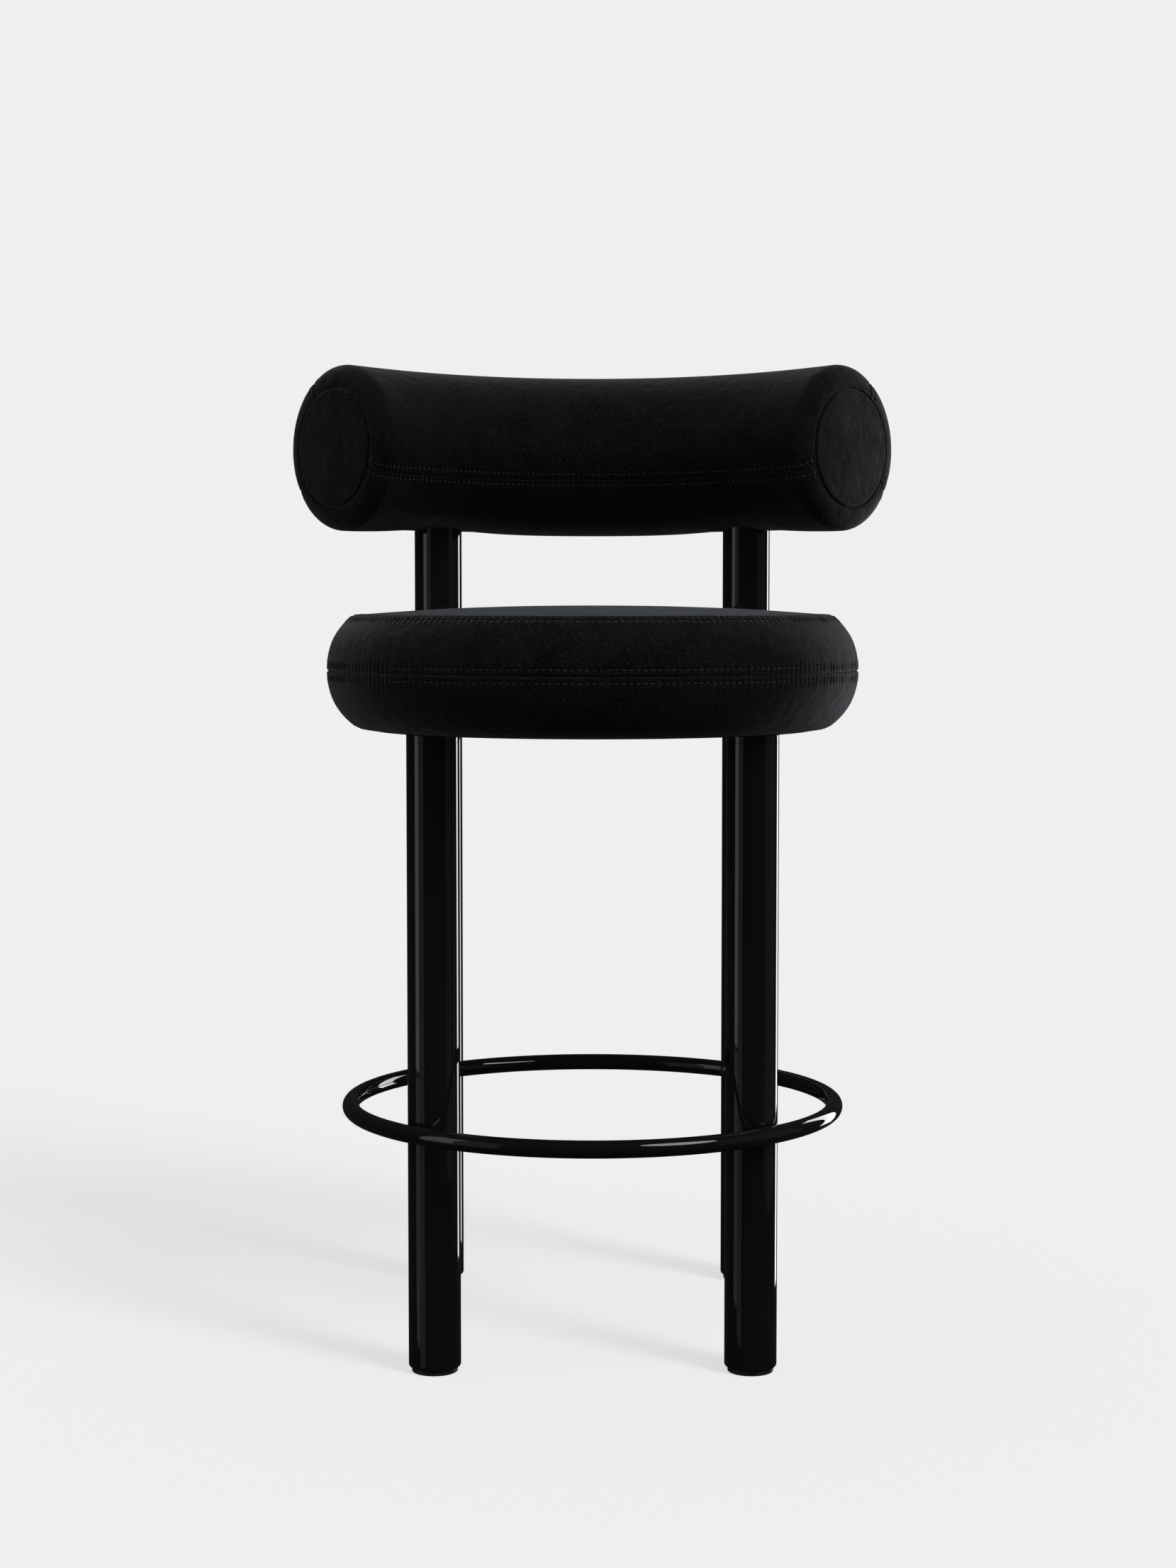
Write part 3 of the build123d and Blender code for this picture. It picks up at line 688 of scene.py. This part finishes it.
def roll_surface(place, clock):
    """Finished velvet of the roll: bulge, rolled seams, puckers, and a pull-in round each leg."""
    base, normals, radius = roll_frame(place, clock)
    end_gap = roll_half - np.abs(place)
    height = -seam_groove(end_gap)
    count = (place + roll_half) / stitch_pitch
    nearest = np.full(np.shape(place), 1.0)
    for number, seam in enumerate(long_seams):
        gap = clock_gap(clock, seam) * radius
        height -= seam_groove(gap)
        height += stitch_relief(gap, count, pucker_level(count + 97 * number))
        nearest = np.minimum(nearest, gap)
    nearest = np.minimum(nearest, end_gap)
    height -= puff * 0.55 * np.exp(-nearest / 0.018)
    for leg_x in (-rear_leg[0], rear_leg[0]):
        away = np.hypot(base[..., 0] - leg_x, base[..., 1] - rear_leg[1]) - 0.0225
        below = np.clip(-normals[..., 2], 0, 1)
        height -= dimple_depth * below * np.exp(-((np.clip(away, 0, None) / dimple_reach) ** 1.3))
    row = clock / (2 * np.pi) * roll_rows
    column = (place + roll_half) / (roll_places[1] - roll_places[0])
    height += swell_reach * sampled(roll_swell, row, column)
    return base + normals * height[..., None]


roll_panels = {
    "backrest_rear_cover": ("backrest_rear_panel", -32.0, 58.0),
    "backrest_front_cover": ("backrest_front_panel", 58.0, 199.0),
    "backrest_under_cover": ("backrest_under_panel", 199.0, 328.0),
}
lengthwise = np.linspace(-roll_half, roll_half, long_stitches * samples_per_stitch + 1)
edge_stations = roll_half - np.arange(0.0004, 0.004, 0.0005)
lengthwise = np.unique(np.concatenate([lengthwise, edge_stations, -edge_stations]).round(7))
lengthwise = lengthwise[np.concatenate([[True], np.diff(lengthwise) > 0.00025])]
lengthwise[-1] = roll_half
for name, (node, start, end) in roll_panels.items():
    arcs = spread(np.radians(start) * roll_radius, np.radians(end) * roll_radius, True, True, coarse=0.0045)
    place, clock = np.meshgrid(lengthwise, arcs / roll_radius, indexing="ij")
    base, normals, radius = roll_frame(place, clock)
    cover = long_skin(name, roll_surface(place, clock), base - normals * shell_depth)
    dress(cover, velvet, "velvet", node)

# ---- Backrest end panels -----------------------------------------------------------------------------------
# A round velvet panel on each end of the roll, slightly domed by the foam behind it.

dome = 0.0022
end_radii = spread(0.0, disc_radius, False, True, coarse=0.0035)
for side, hand in ((-1, "left"), (1, "right")):
    clock, out = np.meshgrid(np.arange(180) * 2 * np.pi / 180, end_radii, indexing="ij")
    turn = side * half_turn
    out_xy = np.array([np.sin(turn), np.cos(turn), 0])
    end_way = side * np.array([np.cos(turn), -np.sin(turn), 0])
    centre = np.array([0, arc_middle[1], roll_height + roll_lift]) + arc_radius * out_xy + end_way * rim_depth
    ray = out_xy * np.cos(clock)[..., None] + np.array([0, 0, 1.0]) * np.sin(clock)[..., None]
    wobble = 0.0003 * np.sin(3 * clock + side) * (out / disc_radius)
    height = dome * (1 - (out / disc_radius) ** 2) + wobble - seam_groove(disc_radius - out)
    front = centre + ray * out[..., None] + end_way * height[..., None]
    back = centre + ray * out[..., None] - end_way * shell_depth
    end_cover = round_skin(f"backrest_{hand}_end_cover", front, back)
    dress(end_cover, velvet, "velvet", f"backrest_{hand}_end_panel")

foam_places = np.linspace(-roll_half, roll_half, 90)
foam_clock, foam_place = np.meshgrid(np.arange(64) * 2 * np.pi / 64, foam_places, indexing="ij")
base, normals, radius = roll_frame(foam_place, foam_clock)
roll_foam_points = base - normals * (shell_depth + 0.0006)
left_pole = roll_foam_points[:, :1] * 0 + roll_foam_points[:, 0].mean(axis=0)
right_pole = roll_foam_points[:, :1] * 0 + roll_foam_points[:, -1].mean(axis=0)
roll_foam_points = np.concatenate([left_pole, roll_foam_points, right_pole], axis=1)
roll_foam = surface("backrest_foam_roll", roll_foam_points, around=True)
dress(roll_foam, foam_cream, "foam", "backrest_foam")

# ---- Backrest stitching ------------------------------------------------------------------------------------
# The same thread as the seat, along both sides of the three long seams, from end panel to end panel.

rows = []
for seam in long_seams:
    for side in (-1, 1):
        place = -roll_half + (np.arange(long_stitches) + 0.5) * stitch_pitch
        place = place[np.abs(place) < roll_half - 0.002]
        radius = roll_frame(place, np.full(len(place), seam))[2]
        clock = seam + side * row_gap / radius
        centres = roll_surface(place, clock)
        ahead = roll_surface(place + 0.0006, clock) - roll_surface(place - 0.0006, clock)
        normals = roll_frame(place, clock)[1]
        rows.append(stitch_row(centres, unit(ahead), normals, stitch_pitch))
sew("backrest_stitches", rows)

# ---- Studio: floor, lights and camera ----------------------------------------------------------------------
# A plain pale floor without a visible end, soft light from the front right and above, tall soft boxes that
# draw the bright and dim lines on the lacquer, and a long lens a little above the seat.

paper_level = 0.863  # the backdrop's brightness, which the lit floor meets
sky_level = 0.68  # soft light from all round
sun_strength = 1.15
shadow_level = 0.90  # what a tall strip of small suns adds on the floor alone, for the legs' shadows
floor_tone = 0.9
floor_glow = 0.88  # share of the floor's brightness that no shadow touches

floor_mesh = bpy.data.meshes.new("studio_floor")
half_floor = 40.0
floor_corners = [(x * half_floor, y * half_floor, 0) for x, y in ((-1, -1), (1, -1), (1, 1), (-1, 1))]
floor_mesh.from_pydata(floor_corners, [], [(0, 1, 2, 3)])
floor = bpy.data.objects.new("studio_floor", floor_mesh)
bpy.context.scene.collection.objects.link(floor)
floor.visible_glossy = False
floor.visible_diffuse = False

sun = bpy.data.lights.new("soft_sun", "SUN")
sun.energy = sun_strength
sun.angle = np.radians(30)
sun_object = bpy.data.objects.new("soft_sun", sun)
sun_from = np.array([0.60, -0.54, 0.80])
sun_from /= np.linalg.norm(sun_from)


def aim(thing, place, target):
    """Stand a lamp or camera at a place and turn it to face a target."""
    thing.location = Vector(place)
    thing.rotation_euler = (Vector(target) - Vector(place)).to_track_quat("-Z", "Y").to_euler()
    bpy.context.scene.collection.objects.link(thing)


aim(sun_object, sun_from * 4, (0, 0, 0))
only_floor = bpy.data.collections.new("lit_by_shadow_suns")
only_floor.objects.link(floor)
for rise in np.radians([25, 33, 41, 49, 57]):
    shadow_sun = bpy.data.lights.new("shadow_sun", "SUN")
    shadow_sun.energy = shadow_level / 5 * np.pi / np.sin(rise)
    shadow_sun.angle = np.radians(15)
    shadow_sun_object = bpy.data.objects.new("shadow_sun", shadow_sun)
    level_way = np.array([0.743, -0.669, 0]) * np.cos(rise)
    aim(shadow_sun_object, (level_way + np.array([0, 0, np.sin(rise)])) * 4, (0, 0, 0))
    shadow_sun_object.light_linking.receiver_collection = only_floor

floor_paper = bpy.data.materials.new("pale_floor")
floor_paper.use_nodes = True
nodes, links = floor_paper.node_tree.nodes, floor_paper.node_tree.links
matt = nodes.new("ShaderNodeBsdfDiffuse")
matt.inputs["Color"].default_value = (floor_tone, floor_tone, floor_tone, 1)
matt_level = floor_tone * (0.975 * sky_level + sun_strength * sun_from[2] / np.pi + shadow_level)
glow = nodes.new("ShaderNodeEmission")
glow.inputs["Color"].default_value = (1, 1, 1, 1)
glow.inputs["Strength"].default_value = (paper_level - (1 - floor_glow) * matt_level) / floor_glow
softened = nodes.new("ShaderNodeMixShader")
softened.inputs["Fac"].default_value = floor_glow
links.new(matt.outputs["BSDF"], softened.inputs[1])
links.new(glow.outputs["Emission"], softened.inputs[2])
links.new(softened.outputs["Shader"], nodes["Material Output"].inputs["Surface"])
floor_mesh.materials.append(floor_paper)

world = bpy.data.worlds.new("studio_air")
bpy.context.scene.world = world
world.use_nodes = True
nodes, links = world.node_tree.nodes, world.node_tree.links
nodes.clear()
path = nodes.new("ShaderNodeLightPath")
backdrop = nodes.new("ShaderNodeBackground")
backdrop.inputs["Color"].default_value = (1, 1, 1, 1)
backdrop.inputs["Strength"].default_value = paper_level
soft_air = nodes.new("ShaderNodeBackground")
soft_air.inputs["Color"].default_value = (1, 1, 1, 1)
way = nodes.new("ShaderNodeTexCoord")
way_parts = nodes.new("ShaderNodeSeparateXYZ")
links.new(way.outputs["Generated"], way_parts.inputs["Vector"])
air_level = nodes.new("ShaderNodeMapRange")
air_level.interpolation_type = "SMOOTHSTEP"
air_level.inputs["From Min"].default_value = -0.15
air_level.inputs["From Max"].default_value = 0.35
air_level.inputs["To Min"].default_value = 0.05
air_level.inputs["To Max"].default_value = sky_level
links.new(way_parts.outputs["Z"], air_level.inputs["Value"])
links.new(air_level.outputs["Result"], soft_air.inputs["Strength"])
dark_air = nodes.new("ShaderNodeBackground")
dark_air.inputs["Color"].default_value = (1, 1, 1, 1)
dark_air.inputs["Strength"].default_value = 0.02
unseen = nodes.new("ShaderNodeMixShader")
links.new(path.outputs["Is Glossy Ray"], unseen.inputs["Fac"])
links.new(soft_air.outputs["Background"], unseen.inputs[1])
links.new(dark_air.outputs["Background"], unseen.inputs[2])
seen = nodes.new("ShaderNodeMixShader")
links.new(path.outputs["Is Camera Ray"], seen.inputs["Fac"])
links.new(unseen.outputs["Shader"], seen.inputs[1])
links.new(backdrop.outputs["Background"], seen.inputs[2])
world_output = nodes.new("ShaderNodeOutputWorld")
links.new(seen.outputs["Shader"], world_output.inputs["Surface"])

stool_only = bpy.data.collections.new("lit_by_soft_boxes")
for piece in [thing for thing in bpy.data.objects if thing.type == "MESH" and thing is not floor]:
    stool_only.objects.link(piece)


def soft_box(name, azimuth, distance, height, width, tall, energy):
    """Tall rectangular lamp that lights only the stool; azimuth 0 is the camera's side, 90 is the right."""
    lamp = bpy.data.lights.new(name, "AREA")
    lamp.shape = "RECTANGLE"
    lamp.size, lamp.size_y, lamp.energy = width, tall, energy
    lamp_object = bpy.data.objects.new(name, lamp)
    turn = np.radians(azimuth)
    aim(lamp_object, (distance * np.sin(turn), -distance * np.cos(turn), height), (0, 0, height))
    lamp_object.visible_camera = False
    lamp_object.light_linking.receiver_collection = stool_only
    return lamp_object


soft_box("strip_right", 132, 2.3, 0.55, 0.62, 2.1, 25)
soft_box("strip_left", -70, 2.3, 0.9, 0.72, 2.0, 4.0)
soft_box("strip_left_foot", -70, 2.3, -0.33, 0.72, 0.44, 0.32)
soft_box("strip_left_edge", -50.5, 2.3, 0.6, 0.85, 2.4, 1.15)
soft_box("fill_right", 80, 2.6, 0.9, 2.4, 2.6, 1.3)

lens_share = 3891 / 2212  # focal length against the picture's height
lens = bpy.data.cameras.new("camera")
lens.lens = 36 * lens_share
lens.sensor_width = 36
lens.clip_end = 200
camera = bpy.data.objects.new("camera", lens)
ring_y = ring_middle[1]
camera_place = np.array([-0.004, ring_y - 2.4618, 0.6603])
pitch = 0.0664
aim(camera, camera_place, camera_place + np.array([0, np.cos(pitch), -np.sin(pitch)]))
bpy.context.scene.camera = camera
bpy.context.scene.view_settings.view_transform = "Standard"
